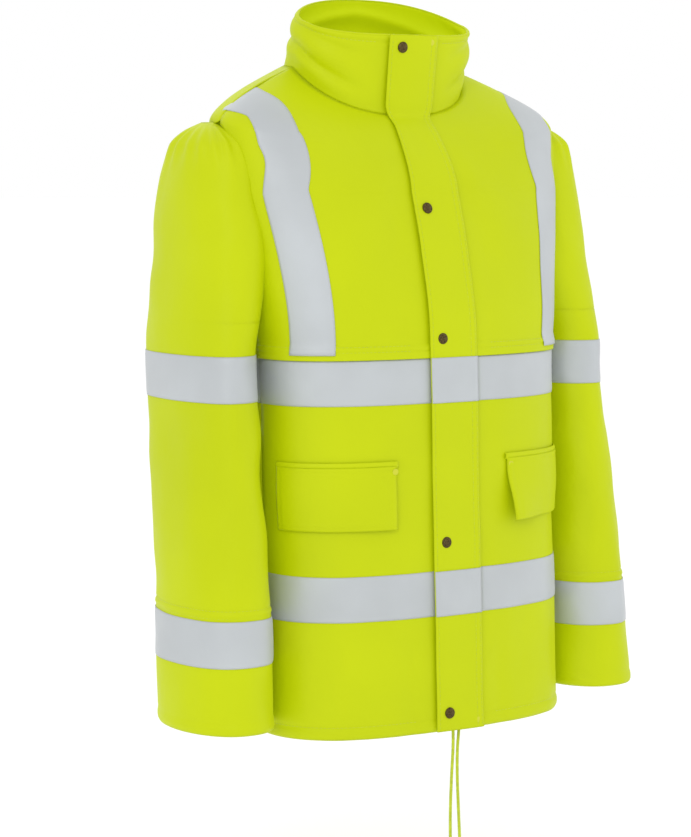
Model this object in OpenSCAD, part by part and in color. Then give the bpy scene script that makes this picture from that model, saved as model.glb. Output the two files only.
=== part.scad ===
// Foul weather jacket on an invisible body: front is -Y, the wearer's left is +X, up is +Z.
// The origin is the hang loop inside the back of the neck. Lengths are in millimetres.
// Heights inside the functions are counted from the front hem, and place() moves them to the origin.

/* [Body] */
// Half of the width at the hem
hem_half_width = 190; // [170:1:210]
// Half of the width at the waist tape
waist_half_width = 186; // [170:1:205]
// Half of the width at the shoulder tips
shoulder_half_width = 218; // [205:1:225]
// Thickness of the coated cloth
cloth = 1.2; // [0.8:0.1:1.6]
// Height of the lap seam across the chest
chest_seam_z = 422; // [400:1:440]

/* [Collar] */
// Height of the neck seam at the front
neck_front_z = 684; // [670:1:695]
// Height of the neck seam on the shoulders
neck_side_z = 738; // [725:1:745]
// Height of the collar's rim at the front
rim_front_z = 773; // [760:1:790]
// Height of the collar's rim at the back
rim_back_z = 817; // [800:1:830]
// Half of the collar's width
collar_half_width = 109; // [95:1:120]

/* [Closures] */
// Width of the storm flap
flap_w = 60; // [50:1:70]
// Height at which the part of the flap that swings ends
flap_split_z = 500; // [480:1:520]
// Radius of a snap's cap
snap_r = 6.2; // [5:0.1:7]
// Distance of the snaps from the middle of the front
snap_x = -14; // [-18:1:-12]
// Pocket flap height
pocket_h = 70; // [55:1:80]
// Height of the pocket flap's top seam
pocket_z = 300; // [280:1:320]

/* [Tapes] */
// Width of the reflective tape
tape_w = 50; // [45:1:52]
// Height of the lower edge of the chest tape
chest_tape_z = 367; // [355:1:369]
// Height of the lower edge of the waist tape
waist_tape_z = 130; // [110:1:150]

/* [Sleeves and cord] */
// Height of the cuff's edge
cuff_z = 17; // [10:1:30]
// Height of the lower edge of the cuff tape
cuff_tape_z = 90; // [80:1:95]
// Diameter of the hem cord
cord_d = 3.5; // [3:0.1:4]

/* [Hidden] */

yellow = [0.80, 0.86, 0.05];
shade = [0.68, 0.74, 0.05];
silver = [0.77, 0.79, 0.81];
bronze = [0.24, 0.19, 0.08];

hook = [0, 121, 742];          // the hang loop's top, which becomes the origin
round_n = 2.8;                 // how boxy the body's sections are: 2 is an ellipse
collar_n = 2.3;                // the same for the collar
neck_front_y = -8;             // the neck seam's front and back
neck_back_y = 128;
neck_back_rise = 7;            // how much higher the neck seam is at the back than on the shoulders
rim_front_y = -19;             // the collar rim's front and back
rim_back_y = 95;
lining_start_x = 16;           // the collar's lining starts beside the zip's tapes
rim_spread = 1;                // how much wider the rim is than the neck seam, on each side
blend_z = 600;                 // above this the sections turn into the neck's outline
shoulder_start = 0.55;         // where the shoulder slope starts, as a share of the way to the neck
shoulder_power = 1.6;          // how round the shoulder tip is
lap = 0.3;                     // clearance between layers
tape_t = 0.7;                  // thickness of a tape
tape_gap = 1.0;                // clearance under a tape, for the facets
flap_in = 4.2;                 // how far the flap's inner face stands in front of the panels
flap_out = flap_in + cloth;
seam_half = 1.5;               // half of the gap between the front edges, where the zip's teeth lie
arm_z = 430;                   // underarm
side_t = 90;                   // angle of the side seams, from the middle of the front
seam_t = 0.2;                  // half of the gap in the side seams, as an angle
snap_zs = [759, 581, 438, 212, 21];
top_snaps = [snap_zs[0], snap_zs[1]];
swing_snaps = [snap_zs[2], snap_zs[3], snap_zs[4]];

// height, then the front of the body on its middle line
front_profile = [[0, -114], [450, -96], [535, -79], [blend_z, -60]];
// height, then the back of the body on its middle line
back_profile = [[0, 102], [250, 100], [400, 108], [blend_z, 126]];
// height, then half of the body's width
width_profile = [[0, hem_half_width], [250, waist_half_width], [400, waist_half_width], [500, 196],
  [blend_z, shoulder_half_width]];
// height, then middle x, half width, middle y and half depth of the sleeve's section
sleeve_x = [[cuff_z, 248], [150, 244], [400, 237], [430, 237], [536, 217], [602, 216], [650, 219], [666, 221],
  [676, 222]];
sleeve_w = [[cuff_z, 55], [150, 51.5], [400, 43], [430, 43], [536, 52], [602, 47], [650, 35], [666, 20], [676, 3]];
sleeve_y = [[cuff_z, -4], [150, 10], [400, 46], [536, 58], [602, 60], [650, 58], [676, 56]];
sleeve_d = [[cuff_z, 80], [150, 84], [400, 90], [536, 86], [602, 76], [650, 58], [666, 36], [676, 8]];
sleeve_n = 2 / 0.9;            // how boxy the sleeve's sections are
sleeve_clear = 5;              // how far the sleeve's edge stops outside the body's cloth
// height, then how far the armhole cuts into the front and into the back, as an angle from the side seam
front_cut = [[445, 0], [470, 5.5], [500, 12.5], [536, 19.3], [600, 24], [640, 16.4], [660, 8], [672, 0]];
back_cut = [[445, 0], [455, 15], [480, 26], [536, 41], [600, 43], [640, 36], [660, 27], [670, 17], [676, 0]];

eyelet_z = 1.5;                // lower edge and height of the cord's eyelets
eyelet_h = 1.5;
// the hanging ends of the hem cord: x, y, height
cord_right_points = [[-4, -110.2, 6], [-4, -110.2, -2], [-5, -112, -20], [-7, -112, -50], [-8, -111, -90],
  [-7, -110, -130], [-6, -110, -170], [-6, -110, -192]];
cord_left_points = [[4, -110.2, 6], [4, -110.2, -2], [0, -113, -20], [-1, -114, -50], [1, -114, -90],
  [4, -113, -130], [6, -112, -170], [6, -112, -192]];

function mix(a, b, s) = a + (b - a) * s;
function power(v, p) = sign(v) * pow(abs(v), p);
function place(x, y, z) = [x, y, z] - hook;
function clamp01(v) = max(0, min(1, v));

// one point of a boxy oval: angle from the front, half width, front y, back y
function oval(t, a, yf, yb, n) =
  [a * power(sin(t), 2 / n), (yf + yb) / 2 - (yb - yf) / 2 * power(cos(t), 2 / n)];

function neck_z(t) = cos(t) > 0
  ? mix(neck_side_z, neck_front_z, cos(t))
  : neck_side_z - neck_back_rise * cos(t);
function rim_z(t) = mix(rim_front_z, rim_back_z, pow((1 - cos(t)) / 2, 1.5));
function neck_oval(t, d) = oval(t, collar_half_width + d, neck_front_y - d, neck_back_y + d, collar_n);
function rim_oval(t, d) =
  oval(t, collar_half_width + rim_spread + d, rim_front_y - d, rim_back_y + d, collar_n);

function body_oval(t, z, d) =
  oval(t, lookup(z, width_profile) + d, lookup(z, front_profile) - d, lookup(z, back_profile) + d, round_n);

// how far a section above blend_z has turned into the neck's outline
function side_share(w) = pow(clamp01((w - shoulder_start) / (1 - shoulder_start)), shoulder_power);
function front_share(w) = pow(w, 1.5);
function neck_share(t, w) =
  side_share(w) * pow(sin(t), 2) + (cos(t) > 0 ? front_share(w) : w * w) * pow(cos(t), 2);

// a point of the body's outer surface: angle from the front, height, distance outside the cloth
function body(t, z, d) =
  let (
    w = clamp01((z - blend_z) / (neck_z(t) - blend_z)),
    p = z <= blend_z
      ? body_oval(t, z, d)
      : mix(body_oval(t, blend_z, d), neck_oval(t, d), neck_share(t, w))
  ) place(p[0], p[1], z);

function collar(t, s, d) =
  let (p = mix(neck_oval(t, d), rim_oval(t, d), s)) place(p[0], p[1], mix(neck_z(t), rim_z(t), s));

// half width of the section whose angle a given x is wanted for
function reach(z) = z <= blend_z
  ? lookup(z, width_profile)
  : mix(shoulder_half_width, collar_half_width, side_share((z - blend_z) / (neck_side_z - blend_z)));
function angle_at(x, a, n) = sign(x) * asin(pow(min(1, abs(x) / a), n / 2));

// the front's middle strip, from hem to rim, by x and height
function front_reach(z) =
  mix(lookup(min(z, blend_z), width_profile), collar_half_width,
    z <= blend_z ? 0 : front_share(clamp01((z - blend_z) / (neck_front_z - blend_z))));
function strip(x, z, d) = z <= neck_front_z
  ? body(angle_at(x, front_reach(z), round_n), min(z, neck_front_z), d)
  : collar(angle_at(x, collar_half_width, collar_n), (z - neck_front_z) / (rim_front_z - neck_front_z), d);

// one point of the left sleeve: angle from straight out, height, distance outside the cloth
function sleeve(p, z, d) = [
  lookup(z, sleeve_x) + (lookup(z, sleeve_w) + d) * power(cos(p), 2 / sleeve_n),
  lookup(z, sleeve_y) + (lookup(z, sleeve_d) + d) * power(sin(p), 2 / sleeve_n), z];

// whether a sleeve point lies inside the body's section
function inside(q) =
  let (
    yf = lookup(min(q[2], blend_z), front_profile),
    yb = lookup(min(q[2], blend_z), back_profile),
    yn = abs(q[1] - (yf + yb) / 2) / ((yb - yf) / 2)
  ) yn < 1 && q[0] < sleeve_clear + reach(q[2]) * pow(1 - pow(yn, round_n), 1 / round_n);

// the angle, front or back, at which the sleeve meets the body
function meet(side, z, p) = p >= 179
  ? 179.6
  : inside(sleeve(side * p, z, 0)) ? p - 2 : meet(side, z, p + 2);
function sleeve_span(u, z) = z < arm_z ? mix(-179.6, 179.6, u) : mix(-meet(-1, z, 60), meet(1, z, 60), u);
function left_sleeve(u, z, d) = let (q = sleeve(sleeve_span(u, z), z, d)) place(q[0], q[1], q[2]);

// a sheet of cloth: f(u, v, d) gives its points, d_out and d_in are its two faces
module sheet(f, nu, nv, d_out, d_in) {
  nw = nu + 1;
  count = nw * (nv + 1);
  points = [for (d = [d_out, d_in]) for (j = [0:nv]) for (i = [0:nu]) f(i / nu, j / nv, d)];
  faces = concat(
    [for (j = [0:nv - 1]) for (i = [0:nu - 1]) for (k = [0, 1])
      let (a = j * nw + i, b = a + 1, c = a + nw, e = c + 1)
      k == 0 ? [a, c, e] : [a, e, b]],
    [for (j = [0:nv - 1]) for (i = [0:nu - 1]) for (k = [0, 1])
      let (a = count + j * nw + i, b = a + 1, c = a + nw, e = c + 1)
      k == 0 ? [a, e, c] : [a, b, e]],
    [for (i = [0:nu - 1]) for (k = [0, 1])
      let (a = i, b = i + 1)
      k == 0 ? [a, b, b + count] : [a, b + count, a + count]],
    [for (i = [0:nu - 1]) for (k = [0, 1])
      let (a = nv * nw + i, b = a + 1)
      k == 0 ? [a, b + count, b] : [a, a + count, b + count]],
    [for (j = [0:nv - 1]) for (k = [0, 1])
      let (a = j * nw, c = a + nw)
      k == 0 ? [a, c + count, c] : [a, a + count, c + count]],
    [for (j = [0:nv - 1]) for (k = [0, 1])
      let (a = j * nw + nu, c = a + nw)
      k == 0 ? [a, c, c + count] : [a, c + count, a + count]]
  );
  polyhedron(points = points, faces = faces);
}

// a tube of the given radius and number of sides, swept along a list of points
module tube(path, r, sides) {
  last = len(path) - 1;
  function ring(i) =
    let (
      a = path[max(0, i - 1)],
      b = path[min(last, i + 1)],
      dir = (b - a) / norm(b - a),
      up = abs(dir[2]) > 0.8 ? [0, 1, 0] : [0, 0, 1],
      s = cross(dir, up) / norm(cross(dir, up)),
      q = cross(s, dir)
    ) [for (k = [0:sides - 1]) path[i] + r * (cos(360 * k / sides) * s + sin(360 * k / sides) * q)];
  points = [for (i = [0:last]) each ring(i)];
  faces = concat(
    [[for (k = [0:sides - 1]) k]],
    [[for (k = [sides - 1:-1:0]) last * sides + k]],
    [for (i = [0:last - 1]) for (k = [0:sides - 1]) for (h = [0, 1])
      let (a = i * sides + k, b = i * sides + (k + 1) % sides, c = a + sides, e = b + sides)
      h == 0 ? [a, c, e] : [a, e, b]]
  );
  polyhedron(points = points, faces = faces);
}

module left_and_right(right) {
  if (right) mirror([1, 0, 0]) children();
  else children();
}

// front panels: u runs from the zip to the side seam or the armhole
function zip_edge_t(z) = angle_at(seam_half, front_reach(z), round_n);
function front_panel(u, z, d) = body(mix(zip_edge_t(z), side_t - lookup(z, front_cut) - seam_t, u), z, d);
// above the yoke's start the top edge follows the neck seam
function yoke_z(u, v) =
  let (t = mix(0, side_t, u)) mix(chest_seam_z + lap, neck_z(t) - lap, v);

module front_upper() sheet(function(u, v, d)
  let (z = yoke_z(u, v)) front_panel(u, z, d), 14, 24, 0, -cloth);
module front_lower() sheet(function(u, v, d)
  front_panel(u, mix(0, chest_seam_z - lap, v), d), 12, 8, 0, -cloth);

module front_upper_right() color(yellow) left_and_right(true) front_upper();
module front_upper_left() color(yellow) front_upper();
module front_lower_right() color(yellow) left_and_right(true) front_lower();
module front_lower_left() color(yellow) front_lower();

module back_upper() color(yellow) sheet(function(u, v, d)
  let (
    t = mix(side_t + seam_t, 360 - side_t - seam_t, u),
    z = mix(chest_seam_z + lap, neck_z(t) - lap, v),
    cut = lookup(z, back_cut),
    ts = mix(side_t + seam_t + cut, 360 - side_t - seam_t - cut, u)
  ) body(ts, z, d), 28, 24, 0, -cloth);
module back_lower() color(yellow) sheet(function(u, v, d)
  body(mix(side_t + seam_t, 360 - side_t - seam_t, u), mix(0, chest_seam_z - lap, v), d),
  24, 8, 0, -cloth);

// hem: a facing inside the panels, with the cord between them
hem_start_t = 3;               // where the facing starts on each side of the zip, as an angle
cord_start_t = 6;              // the same for the cord
hem_low_z = 2;
hem_high_z = 24;
hem_cord_z = 12;
hem_cord_depth = 3.6;
module hem_facing() color(shade) sheet(function(u, v, d)
  body(mix(hem_start_t, 360 - hem_start_t, u), mix(hem_low_z, hem_high_z, v), d), 48, 1, -6, -7);
module hem_drawcord() color(yellow)
  tube([for (i = [0:60]) body(mix(cord_start_t, 360 - cord_start_t, i / 60), hem_cord_z, -hem_cord_depth)],
    cord_d / 2, 8);
module cord_eyelets() color(bronze)
  for (p = [cord_right_points[0], cord_left_points[0]]) translate(place(p[0], p[1], eyelet_z))
    rotate_extrude($fn = 32) translate([cord_d / 2 + 0.15, 0]) square([0.45, eyelet_h]);

function cord_path(points) = [for (p = points) place(p[0], p[1], p[2])];
module cord_end_right() color(yellow) tube(cord_path(cord_right_points), cord_d / 2, 8);
module cord_end_left() color(yellow) tube(cord_path(cord_left_points), cord_d / 2, 8);
module knot(points) {
  end = points[len(points) - 1];
  translate(place(end[0], end[1], end[2])) rotate_extrude($fn = 32)
    polygon([[0, 0], [3, -0.5], [4.2, -3], [4.4, -5.5], [3.2, -8.5], [1.8, -10], [0, -10.5]]);
}
module cord_knot_right() color(yellow) knot(cord_right_points);
module cord_knot_left() color(yellow) knot(cord_left_points);

// collar: an outer ply and a lining, open at the front where the zip ends
collar_gap_t = angle_at(seam_half, collar_half_width, collar_n);
lining_gap_t = angle_at(lining_start_x, collar_half_width, collar_n);
module collar_outer() color(yellow) sheet(function(u, v, d)
  collar(mix(collar_gap_t, 360 - collar_gap_t, u), v, d), 36, 3, 0, -cloth);
module collar_lining() color(shade) sheet(function(u, v, d)
  collar(mix(lining_gap_t, 360 - lining_gap_t, u), v * 0.98, d), 36, 3, -3.2, -4.2);

// hang loop: a bowed tape with a gap for a hook
loop_r = 15;
loop_w = 5;
loop_t = 2;
module hang_loop() color(shade) translate([0, loop_t / 2, -loop_r]) rotate([90, 0, 0])
  linear_extrude(loop_t) difference() {
    circle(r = loop_r, $fn = 64);
    circle(r = loop_r - loop_w, $fn = 64);
    translate([-2 * loop_r, -2 * loop_r - loop_w]) square([4 * loop_r, 2 * loop_r]);
  }

// zip: tapes behind the front edges, teeth between them
zip_low = 8;
zip_high = rim_front_z - 6;
zip_half_width = 14;
zip_rows = 60;
neck_row = 0.9;                // share of the rows below the neck seam, so that one row lies in its corner
function zip_z(v) = v < neck_row
  ? mix(zip_low, neck_front_z, v / neck_row)
  : mix(neck_front_z, zip_high, (v - neck_row) / (1 - neck_row));
module zip_tape(side) sheet(function(u, v, d)
  strip(side > 0 ? mix(seam_half + 0.5, zip_half_width, u) : mix(-zip_half_width, -seam_half - 0.5, u),
    zip_z(v), d), 1, zip_rows, -cloth - 2.2, -cloth - 3);
module zip_tape_right() color(shade) zip_tape(-1);
module zip_tape_left() color(shade) zip_tape(1);
module zip_teeth(side) sheet(function(u, v, d)
  strip(side > 0 ? mix(0.05, seam_half - 0.2, u) : mix(-seam_half + 0.2, -0.05, u),
    zip_z(v), d), 1, zip_rows, 0.3, -cloth - 1.2);
module zip_teeth_right() color(bronze) zip_teeth(-1);
module zip_teeth_left() color(bronze) zip_teeth(1);

slider_z = 430;
lean = atan((front_profile[1][1] - front_profile[0][1]) / front_profile[1][0]);
module on_front(x, z, d, tilt) translate(strip(x, z, d)) rotate([-tilt, 0, 0]) rotate([90, 0, 0]) children();
pull_l = 24;
module zip_slider() color(bronze) on_front(0, slider_z, 0.8, lean) linear_extrude(1.6)
  polygon([[-3, -7], [3, -7], [5, 3], [4, 7], [-4, 7], [-5, 3]]);
module zip_pull() color(bronze) on_front(0, slider_z - 3, 2.7, lean) linear_extrude(1) difference() {
  hull() {
    circle(r = 2.4, $fn = 32);
    translate([0, -pull_l]) circle(r = 3.6, $fn = 32);
  }
  translate([0, -pull_l]) circle(r = 2, $fn = 32);
}

// storm flap: the lower part swings, the top stays closed
module flap_sheet(z0, z1, rows) sheet(function(u, v, d)
  strip(mix(-flap_w / 2 + 1, flap_w / 2 + 1, u), mix(z0, z1, v), d), 4, rows, flap_out, flap_in);
module storm_flap() color(yellow) flap_sheet(0, flap_split_z - lap, 12);
module storm_flap_top() color(yellow) flap_sheet(flap_split_z + lap, rim_front_z, 12);

function tilt_at(z) =
  let (a = strip(0, z - 4, 0), b = strip(0, z + 4, 0)) atan((b[1] - a[1]) / (b[2] - a[2]));
module snap_cap(z) on_front(snap_x, z, flap_out + 0.5, tilt_at(z)) rotate_extrude($fn = 48)
  polygon([[0, 0], [snap_r, 0], [snap_r, 0.8], [snap_r - 0.9, 1.7], [snap_r / 2, 2.2], [0, 2.3]]);
module snap_socket(z) on_front(snap_x, z, flap_in - 2, tilt_at(z)) difference() {
  cylinder(r = 5, h = 1.2, $fn = 48);
  translate([0, 0, -1]) cylinder(r = 2.4, h = 3, $fn = 32);
}
module snap_stud(z) on_front(snap_x, z, 0.5, tilt_at(z)) {
  cylinder(r = 5, h = 0.8, $fn = 48);
  cylinder(r = 2, h = 1.5, $fn = 32);
}
module snap_caps() color(bronze) for (z = swing_snaps) snap_cap(z);
module snap_caps_top() color(bronze) for (z = top_snaps) snap_cap(z);
module snap_sockets() color(bronze) for (z = swing_snaps) snap_socket(z);
module snap_sockets_top() color(bronze) for (z = top_snaps) snap_socket(z);
module snap_studs() color(bronze) for (z = snap_zs) snap_stud(z);

// pockets: a flap outside and a bag inside each front, v going from the flap's lower edge to its top seam
pocket_x0 = 74;
pocket_t1 = 80;
bag_share = 0.9;               // how far the bag goes above and below the flap's lower edge, in flap heights
function pocket(u, v, d) =
  let (t0 = angle_at(pocket_x0, waist_half_width, round_n))
  body(mix(t0, pocket_t1, u), mix(pocket_z - pocket_h, pocket_z, v), d);
module pocket_flap() sheet(function(u, v, d) pocket(u, v, d), 12, 2, 2.4 + cloth, 2.4);
module pocket_flap_right() color(yellow) left_and_right(true) pocket_flap();
module pocket_flap_left() color(yellow) pocket_flap();
module pocket_bag() sheet(function(u, v, d)
  pocket(u, mix(-bag_share, bag_share, v), d), 10, 3, -4, -5);
module pocket_bag_right() color(shade) left_and_right(true) pocket_bag();
module pocket_bag_left() color(shade) pocket_bag();

// tapes round the body: the left ones end at the flap's seam, and the right ones end under the flap
tape_out = tape_gap + tape_t;
tape_seam_t = 0.3;             // half of the gap between two tapes in the side seams, as an angle
tape_x_left = flap_w / 2 + 2.5;
tape_x_right = 22;
module side_tape(z, x0) sheet(function(u, v, d)
  body(mix(angle_at(x0, waist_half_width, round_n), side_t - tape_seam_t, u), mix(z, z + tape_w, v), d),
  14, 2, tape_out, tape_gap);
module back_tape(z) sheet(function(u, v, d)
  body(mix(side_t + tape_seam_t, 360 - side_t - tape_seam_t, u), mix(z, z + tape_w, v), d),
  24, 2, tape_out, tape_gap);
module flap_tape(z) sheet(function(u, v, d)
  strip(mix(-flap_w / 2 + 1.5, flap_w / 2 + 0.5, u), mix(z, z + tape_w, v), d),
  2, 1, flap_out + 0.9, flap_out + 0.2);
module tape_chest_right() color(silver) left_and_right(true) side_tape(chest_tape_z, tape_x_right);
module tape_chest_left() color(silver) side_tape(chest_tape_z, tape_x_left);
module tape_chest_back() color(silver) back_tape(chest_tape_z);
module tape_chest_flap() color(silver) flap_tape(chest_tape_z);
module tape_waist_right() color(silver) left_and_right(true) side_tape(waist_tape_z, tape_x_right);
module tape_waist_left() color(silver) side_tape(waist_tape_z, tape_x_left);
module tape_waist_back() color(silver) back_tape(waist_tape_z);
module tape_waist_flap() color(silver) flap_tape(waist_tape_z);

// tapes over the shoulders: angle and height of the middle line, from the chest seam up to the shoulder's ridge
front_path = [[54, chest_seam_z + 28], [50, 520], [48, 615], [56, 662], [73, 692], [90, 703]];
// the same for the back, with the angle counted from the middle of the back
back_path = [[36, chest_seam_z + 28], [34, 520], [34, 600], [42, 650], [60, 690], [90, 703]];
function along(path, s) =
  let (n = len(path) - 1, i = min(n - 1, floor(s * n)))
  mix(path[i], path[i + 1], s * n - i);
function middle(v) = v < 0.5
  ? along(front_path, 2 * v)
  : let (q = along(back_path, 2 - 2 * v)) [180 - q[0], q[1]];
function body_at(q, d) = body(q[0], q[1], d);
// moves a point [angle, height] by a length over the surface, across the given direction
function step_across(q, ahead, length) =
  let (
    pt = body_at(q + [0.5, 0], 0) - body_at(q - [0.5, 0], 0),
    pz = body_at(q + [0, 0.5], 0) - body_at(q - [0, 0.5], 0),
    across = cross(cross(pt, pz), ahead),
    w = across / norm(across) * length,
    a = pt * pt, b = pt * pz, c = pz * pz, e = w * pt, f = w * pz,
    det = a * c - b * b
  ) q + [(e * c - f * b) / det, (a * f - b * e) / det];
function go_across(q, ahead, length, steps) = steps == 0
  ? q
  : go_across(step_across(q, ahead, length / steps), ahead, length * (1 - 1 / steps), steps - 1);
function shoulder_tape(u, v, d) =
  let (ahead = body_at(middle(min(1, v + 0.02)), 0) - body_at(middle(max(0, v - 0.02)), 0))
  body_at(go_across(middle(v), ahead, (0.5 - u) * tape_w, 4), d);
shoulder_gap = 2.2;            // further clearance over the steeply curved shoulder
module shoulder_sheet() sheet(function(u, v, d)
  shoulder_tape(u, v, d), 6, 40, tape_out + shoulder_gap, tape_gap + shoulder_gap);
module tape_shoulder_right() color(silver) left_and_right(true) shoulder_sheet();
module tape_shoulder_left() color(silver) shoulder_sheet();

// sleeves: open at the cuff and at the armhole
arm_tape_z = chest_tape_z + 6;
sleeve_top_z = sleeve_x[len(sleeve_x) - 1][0];
head_z = 536;                  // half of the rows lie above this height, where the sleeve's head curves
function sleeve_z(v) = v < 0.5 ? mix(cuff_z, head_z, 2 * v) : mix(head_z, sleeve_top_z, 2 * v - 1);
module sleeve_sheet() sheet(function(u, v, d) left_sleeve(u, sleeve_z(v), d), 24, 28, 0, -cloth);
module sleeve_right() color(yellow) left_and_right(true) sleeve_sheet();
module sleeve_left() color(yellow) sleeve_sheet();
module sleeve_tape(z) sheet(function(u, v, d)
  left_sleeve(mix(0.02, 0.98, u), mix(z, z + tape_w, v), d), 24, 2, tape_out, tape_gap);
module tape_arm_right() color(silver) left_and_right(true) sleeve_tape(arm_tape_z);
module tape_arm_left() color(silver) sleeve_tape(arm_tape_z);
module tape_cuff_right() color(silver) left_and_right(true) sleeve_tape(cuff_tape_z);
module tape_cuff_left() color(silver) sleeve_tape(cuff_tape_z);

front_upper_right();
front_upper_left();
front_lower_right();
front_lower_left();
back_upper();
back_lower();
hem_facing();
hem_drawcord();
cord_eyelets();
cord_end_right();
cord_end_left();
cord_knot_right();
cord_knot_left();
collar_outer();
collar_lining();
hang_loop();
zip_tape_right();
zip_tape_left();
zip_teeth_right();
zip_teeth_left();
zip_slider();
zip_pull();
storm_flap_top();
storm_flap();
snap_caps_top();
snap_caps();
snap_sockets_top();
snap_sockets();
snap_studs();
pocket_flap_right();
pocket_flap_left();
pocket_bag_right();
pocket_bag_left();
tape_shoulder_right();
tape_shoulder_left();
tape_chest_right();
tape_chest_flap();
tape_chest_left();
tape_chest_back();
tape_waist_right();
tape_waist_flap();
tape_waist_left();
tape_waist_back();
sleeve_right();
sleeve_left();
tape_arm_right();
tape_arm_left();
tape_cuff_right();
tape_cuff_left();
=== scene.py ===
import bpy
import math
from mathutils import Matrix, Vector, noise


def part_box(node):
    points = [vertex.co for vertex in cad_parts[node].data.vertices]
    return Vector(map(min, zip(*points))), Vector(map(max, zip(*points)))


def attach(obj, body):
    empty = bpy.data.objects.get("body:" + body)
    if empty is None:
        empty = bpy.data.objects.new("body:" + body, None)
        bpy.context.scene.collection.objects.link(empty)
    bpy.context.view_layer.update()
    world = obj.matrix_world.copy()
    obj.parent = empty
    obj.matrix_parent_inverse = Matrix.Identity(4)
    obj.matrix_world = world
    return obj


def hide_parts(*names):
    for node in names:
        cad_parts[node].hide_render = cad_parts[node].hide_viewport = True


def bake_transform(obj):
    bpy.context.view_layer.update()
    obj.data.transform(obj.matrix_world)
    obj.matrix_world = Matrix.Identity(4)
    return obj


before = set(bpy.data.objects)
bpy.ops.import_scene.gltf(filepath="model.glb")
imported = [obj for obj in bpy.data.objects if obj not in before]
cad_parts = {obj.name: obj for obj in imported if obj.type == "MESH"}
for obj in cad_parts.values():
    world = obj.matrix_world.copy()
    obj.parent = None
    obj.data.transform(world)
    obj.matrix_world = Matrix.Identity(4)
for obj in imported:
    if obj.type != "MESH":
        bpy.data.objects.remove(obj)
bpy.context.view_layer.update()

MM = 0.001


# ---------------------------------------------------------------- frame: places taken from the CAD
def low(node):
    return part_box(node)[0]


def high(node):
    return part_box(node)[1]


HEM = low("front_lower_left").z                      # height of the hem
BACK_SHIFT = -121 * MM                               # the body's own y = 0, seen from the hang loop
SEAM_Z = (high("front_lower_left").z - HEM) / MM     # lap seam across the chest, mm above the hem
TAPE_CHEST = (low("tape_chest_left").z - HEM) / MM
TAPE_WAIST = (low("tape_waist_left").z - HEM) / MM
TAPE_ARM = (low("tape_arm_left").z - HEM) / MM
TAPE_CUFF = (low("tape_cuff_left").z - HEM) / MM
TAPE_W = (high("tape_waist_left").z - HEM) / MM - TAPE_WAIST
POCKET_TOP = (high("pocket_flap_left").z - HEM) / MM
POCKET_H = POCKET_TOP - (low("pocket_flap_left").z - HEM) / MM
FLAP_X0 = low("storm_flap").x / MM
FLAP_X1 = high("storm_flap").x / MM
CUFF_Z = (low("sleeve_left").z - HEM) / MM
RIM_BACK = (high("collar_outer").z - HEM) / MM
RIM_FRONT = (high("storm_flap_top").z - HEM) / MM
CLOTH = 1.2                                          # thickness of a sheet of coated cloth, mm


def place(x, y, z):
    """A point in mm above the hem, as metres in the row frame."""
    return Vector((x * MM, y * MM + BACK_SHIFT, z * MM + HEM))


# ---------------------------------------------------------------- camera
EYE_Z = 645            # the eye's height above the hem
DISTANCE = 3000
AZIMUTH = math.radians(34)
AIM_LEFT = math.radians(1.226)
PITCH = math.radians(5.81)
cam_data = bpy.data.cameras.new("camera")
cam_data.lens = 113.5
cam_data.clip_end = 50
camera = bpy.data.objects.new("camera", cam_data)
bpy.context.collection.objects.link(camera)
camera.location = place(-DISTANCE * math.sin(AZIMUTH), -DISTANCE * math.cos(AZIMUTH), EYE_Z)
camera.rotation_euler = (math.pi / 2 - PITCH, 0, AIM_LEFT - AZIMUTH)
bpy.context.scene.camera = camera
bpy.context.scene.view_settings.view_transform = "Standard"


# ---------------------------------------------------------------- materials
def new_material(name, base, rough, **fixed):
    m = bpy.data.materials.new(name)
    m.use_nodes = True
    shader = m.node_tree.nodes["Principled BSDF"]
    shader.inputs["Base Color"].default_value = (*base, 1)
    shader.inputs["Roughness"].default_value = rough
    for key, value in fixed.items():
        shader.inputs[key.replace("_", " ")].default_value = value
    return m, m.node_tree, shader


def add(tree, kind, **values):
    node = tree.nodes.new(kind)
    for key, value in values.items():
        if key in node.inputs:
            node.inputs[key].default_value = value
        else:
            setattr(node, key, value)
    return node


def vary(tree, shader, coords, dark, light, scale, detail=3.0):
    """Colour that drifts between two tones."""
    n = add(tree, "ShaderNodeTexNoise", Scale=scale, Detail=detail)
    tree.links.new(coords, n.inputs["Vector"])
    ramp = tree.nodes.new("ShaderNodeValToRGB")
    ramp.color_ramp.elements[0].position = 0.3
    ramp.color_ramp.elements[1].position = 0.7
    ramp.color_ramp.elements[0].color = (*dark, 1)
    ramp.color_ramp.elements[1].color = (*light, 1)
    tree.links.new(n.outputs["Fac"], ramp.inputs["Fac"])
    tree.links.new(ramp.outputs["Color"], shader.inputs["Base Color"])


def vary_rough(tree, shader, coords, a, b, scale):
    n = add(tree, "ShaderNodeTexNoise", Scale=scale, Detail=4.0)
    r = add(tree, "ShaderNodeMapRange")
    r.inputs["To Min"].default_value = a
    r.inputs["To Max"].default_value = b
    tree.links.new(coords, n.inputs["Vector"])
    tree.links.new(n.outputs["Fac"], r.inputs["Value"])
    tree.links.new(r.outputs["Result"], shader.inputs["Roughness"])


def bumps(tree, shader, layers):
    """Stack of bump nodes: (height socket, strength, distance in metres)."""
    last = None
    for height, strength, distance in layers:
        b = add(tree, "ShaderNodeBump", Strength=strength, Distance=distance)
        tree.links.new(height, b.inputs["Height"])
        if last is not None:
            tree.links.new(last, b.inputs["Normal"])
        last = b.outputs["Normal"]
    tree.links.new(last, shader.inputs["Normal"])


def noise_height(tree, coords, scale, detail=2.0):
    n = add(tree, "ShaderNodeTexNoise", Scale=scale, Detail=detail)
    tree.links.new(coords, n.inputs["Vector"])
    return n.outputs["Fac"]


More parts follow.
